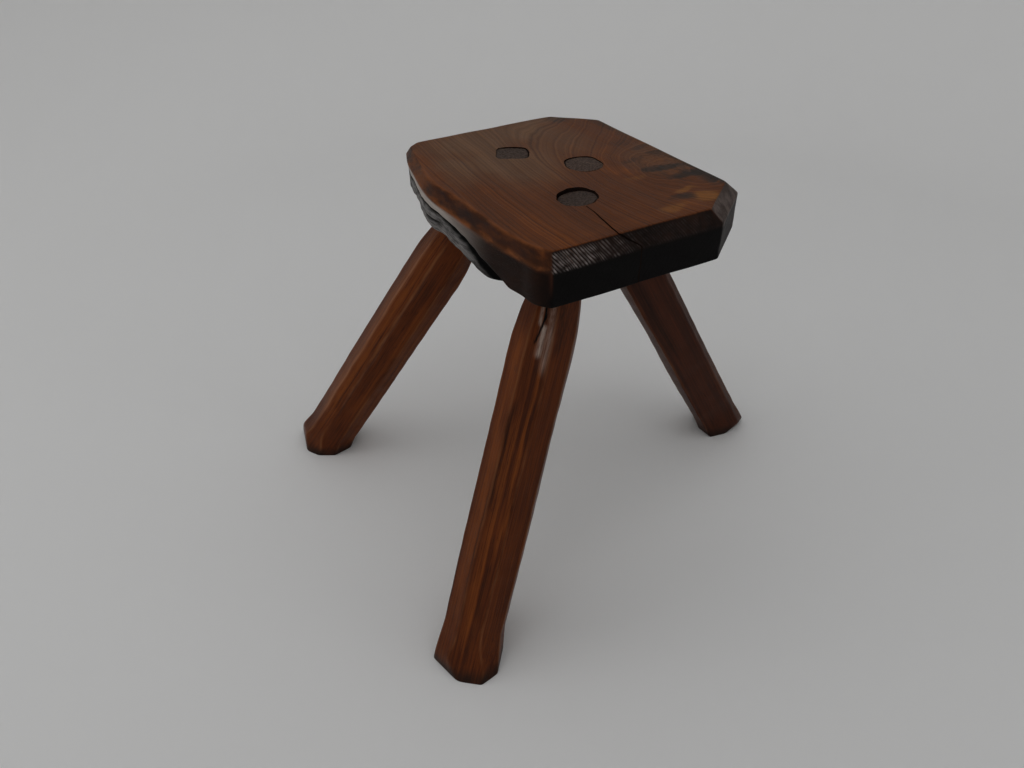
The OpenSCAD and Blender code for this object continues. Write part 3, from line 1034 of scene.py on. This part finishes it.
# What the legs share. A tenon is its two half sizes and how square it is. Turns are in degrees
# from the leg's outer side. high_shoulder is where the shoulder starts sooner, and by how much.
# A trim is its heading seen from above, its distance from the foot's middle and its lean.
LEG_BASE = {
    "tenon": (14.25, 14.25, 2), "tenon_turn": 0, "gap": 0.22, "gap_extra": 0, "gap_turn": 0,
    "recess": 0.3, "recess_turn": 0, "crispness": 90, "flare_run": 34, "shoulder_start": 54,
    "shoulder_run": 76, "shoulder_ease": 2.2, "high_shoulder": (0, 0), "wander_run": 130,
    "checks": [], "stains": [], "glows": [], "painted_highlights": [],
}
LEGS = {
    "leg_left": {
        **LEG_BASE, "mount": "left_sole", "seed": 100, "tenon": (11.2, 13.4, 4.2), "tenon_turn": 5,
        "faces": [(25.7, 25.8, 3.5), (63.7, 24.7, -1), (91.7, 23.5, 4.5), (135.7, 24.9, 7.5),
                  (178.7, 25.1, 7), (223.7, 25.5, 2), (268.7, 23.5, 2), (308.7, 25.5, 2),
                  (345.7, 26.0, 5)],
        "trims": [(170, 21.5, -0.1)], "high_shoulder": (174, -12), "crispness": 60,
        # The glows at 56 to 58 and at 40 to 41 are partly painted light: the orange band where
        # light falls on the left faces, and a highlight along the left arris.
        "glows": [(60, 390, 56, 58, 5, 0.6), (90, 376, 40, 41, 1.8, 0.6),
                  (150, 330, 110, 108, 2.5, 0.3), (60, 376, 29, 31, 4, 0.4),
                  (80, 376, 133, 131, 6, 0.4)],
        # Painted highlights where shiny facets catch the light.
        "painted_highlights": [(84, 380, 40, 41, 1.8, 0.16), (60, 390, 22, 24, 7, 0.07),
                 (110, 350, 75, 77, 1.0, 0.08)],
        "stains": [(120, 330, 92, 94, 4, 0.2), (200, 330, 64, 62, 1.2, 0.4)],
    },
    "leg_right": {
        **LEG_BASE, "mount": "right_sole", "seed": 200, "tenon": (12.6, 15.6, 2.3), "recess": 0.15,
        "gap_extra": 0.6, "gap_turn": -112,
        "faces": [(-92.5, 21.2, 4.5), (-172.5, 24.9, 2.0), (163.5, 22.2, 2.5), (-46.5, 24.6, 1.5),
                  (-8.5, 21.7, 1.5), (35.5, 23, 2), (80.5, 21, 2), (125.5, 24, 2)],
        "trims": [(-68, 18.5, 0.7)],
        "stains": [(85, 245, -131, -117, 3.4, 0.6)],
        "glows": [(120, 300, -142, -138, 2, 0.6)],
        # Painted highlights where shiny facets catch the light.
        "painted_highlights": [(70, 376, -173, -173, 7, 0.2)],
    },
    "leg_front": {
        **LEG_BASE, "mount": "front_sole", "seed": 300, "gap": 0.35, "gap_extra": 1.4,
        "gap_turn": -122, "recess": 1.7, "recess_turn": 68, "high_shoulder": (113, 12),
        "faces": [(17.4, 24.2, -1.2), (62.4, 24.2, 5.8), (107.4, 24.1, 5.5), (152.4, 24.2, 2),
                  (197.4, 24.2, 2), (242.4, 24.2, 2), (287.4, 23.9, 2.5), (332.4, 24.0, 2.5)],
        "trims": [(195, 22.6, -0.1)],
        "checks": [(70, 92, 13, 20, 0.8, 0.8), (86, 112, 20, 7, 0.7, 0.8)],
        # Painted highlights where shiny facets catch the light.
        "painted_highlights": [(93, 121, 19, 20, 2.1, 1.0), (80, 97, 10, 11, 1.2, 0.8),
                 (66, 135, 31, 33, 2.2, 0.5)],
        "stains": [(110, 260, 24, 12, 12, 0.2), (150, 250, 2, -1, 1.1, 0.6),
                   (60, 376, 66, 66, 8, 0.15), (220, 350, -9, -6, 1.3, 0.4),
                   (280, 376, 26, 22, 1.4, 0.4), (120, 200, 34, 36, 1.0, 0.35),
                   (60, 120, 54, 52, 3, 0.35)],
        "glows": [(90, 376, -20, -18, 5, 0.6), (150, 376, 12, 10, 4, 0.6),
                  (110, 300, 30, 32, 1.5, 0.8)],
    },
}

camera()
studio()
lighting()
leg_piece("leg_left", LEGS["leg_left"], leg_wood("leg_wood_left", 1, CHESTNUT, 165, 1.08))
leg_piece("leg_right", LEGS["leg_right"], leg_wood("leg_wood_right", 2, DUSKY, -25, 1.3))
leg_piece("leg_front", LEGS["leg_front"], leg_wood("leg_wood_front", 3, CHESTNUT, 103, 0.88))
seat_piece(LEGS, seat_wood(), hole_wood())
